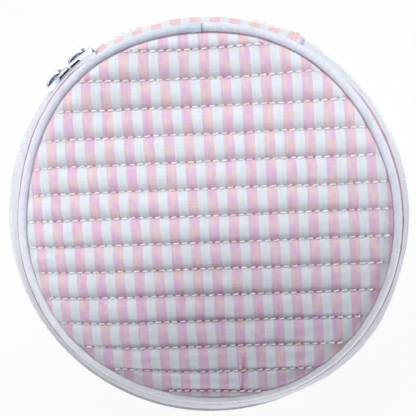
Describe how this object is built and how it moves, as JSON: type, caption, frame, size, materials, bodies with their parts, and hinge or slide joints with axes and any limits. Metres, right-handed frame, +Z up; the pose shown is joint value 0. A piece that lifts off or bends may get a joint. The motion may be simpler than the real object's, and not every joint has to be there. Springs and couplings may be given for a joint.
{
  "type": "round jewelry case",
  "caption": "Shallow round quilted cotton case with piped edges, a zip round its wall, a striped cloth hinge, and a snap-down ring roll and pockets inside.",
  "frame": {"origin": "on the surface the case stands on, under the middle of the case", "axes": "+Z up through the lid, +Y towards the hinge at the back, +X to the right seen from the front"},
  "size_m": [0.1524, 0.1515, 0.0314],
  "materials": {
    "quilted_cotton": "striped plain-weave cotton, quilted in straight rows with cream thread",
    "gusset_cotton": "striped plain-weave cotton strip",
    "piping_cotton": "smooth lilac-white cotton over cord",
    "zip_tape": "herringbone woven polyester tape",
    "zip_teeth": "satin white moulded teeth",
    "nickel": "bright nickel plate",
    "lining_cotton": "plain pale pink cotton",
    "elastic_edge": "covered elastic",
    "stiffener": "stiff card"
  },
  "bodies": {
    "base": {"base_cover": "quilted_cotton", "base_piping": "piping_cotton", "base_board": "stiffener", "base_lining": "lining_cotton", "base_side_lining": "lining_cotton", "base_zip_tape": "zip_tape", "base_zip_teeth": "zip_teeth", "base_pocket": "lining_cotton", "base_pocket_elastic": "elastic_edge", "ring_roll": "lining_cotton", "ring_snap_stud": "nickel", "hinge_gusset": "gusset_cotton", "hinge_gusset_lining": "lining_cotton"},
    "lid": {"lid_cover": "quilted_cotton", "lid_piping": "piping_cotton", "lid_board": "stiffener", "lid_lining": "lining_cotton", "lid_side_lining": "lining_cotton", "lid_zip_tape": "zip_tape", "lid_zip_teeth": "zip_teeth", "lid_pocket": "lining_cotton", "lid_pocket_elastic": "elastic_edge"},
    "slider_parked": {"zip_slider_parked": "nickel", "zip_slider_parked_back_plate": "nickel"},
    "slider_running": {"zip_slider_running": "nickel", "zip_slider_running_back_plate": "nickel"},
    "pull_parked": {"zip_pull_parked": "nickel"},
    "pull_running": {"zip_pull_running": "nickel"},
    "ring_strap": {"ring_strap": "lining_cotton", "ring_snap_cap": "nickel"}
  },
  "joints": [
    {"name": "lid_hinge", "type": "hinge", "parent": "base", "child": "lid", "pos_m": [0, 0.0695, 0.0175], "axis": [-1, 0, 0], "range_deg": [0, 140], "deforming": ["hinge_gusset", "hinge_gusset_lining"]},
    {"name": "running_slider_travel", "type": "hinge", "parent": "base", "child": "slider_running", "pos_m": [0, 0, 0.0155], "axis": [0, 0, 1], "range_deg": [0, 281]},
    {"name": "parked_slider_travel", "type": "hinge", "parent": "base", "child": "slider_parked", "pos_m": [0, 0, 0.0155], "axis": [0, 0, 1], "range_deg": [-0.45, 0.45]},
    {"name": "running_pull_swing", "type": "hinge", "parent": "slider_running", "child": "pull_running", "pos_m": [-0.0527, 0.05808, 0.0155], "axis": [0, 0, -1], "range_deg": [0, 130]},
    {"name": "parked_pull_swing", "type": "hinge", "parent": "slider_parked", "child": "pull_parked", "pos_m": [-0.04334, 0.06537, 0.0155], "axis": [0, 0, -1], "range_deg": [0, 150]},
    {"name": "ring_strap_fold", "type": "hinge", "parent": "base", "child": "ring_strap", "pos_m": [0.043, 0.016, 0.0076], "axis": [0, 1, 0], "range_deg": [0, 80]}
  ]
}
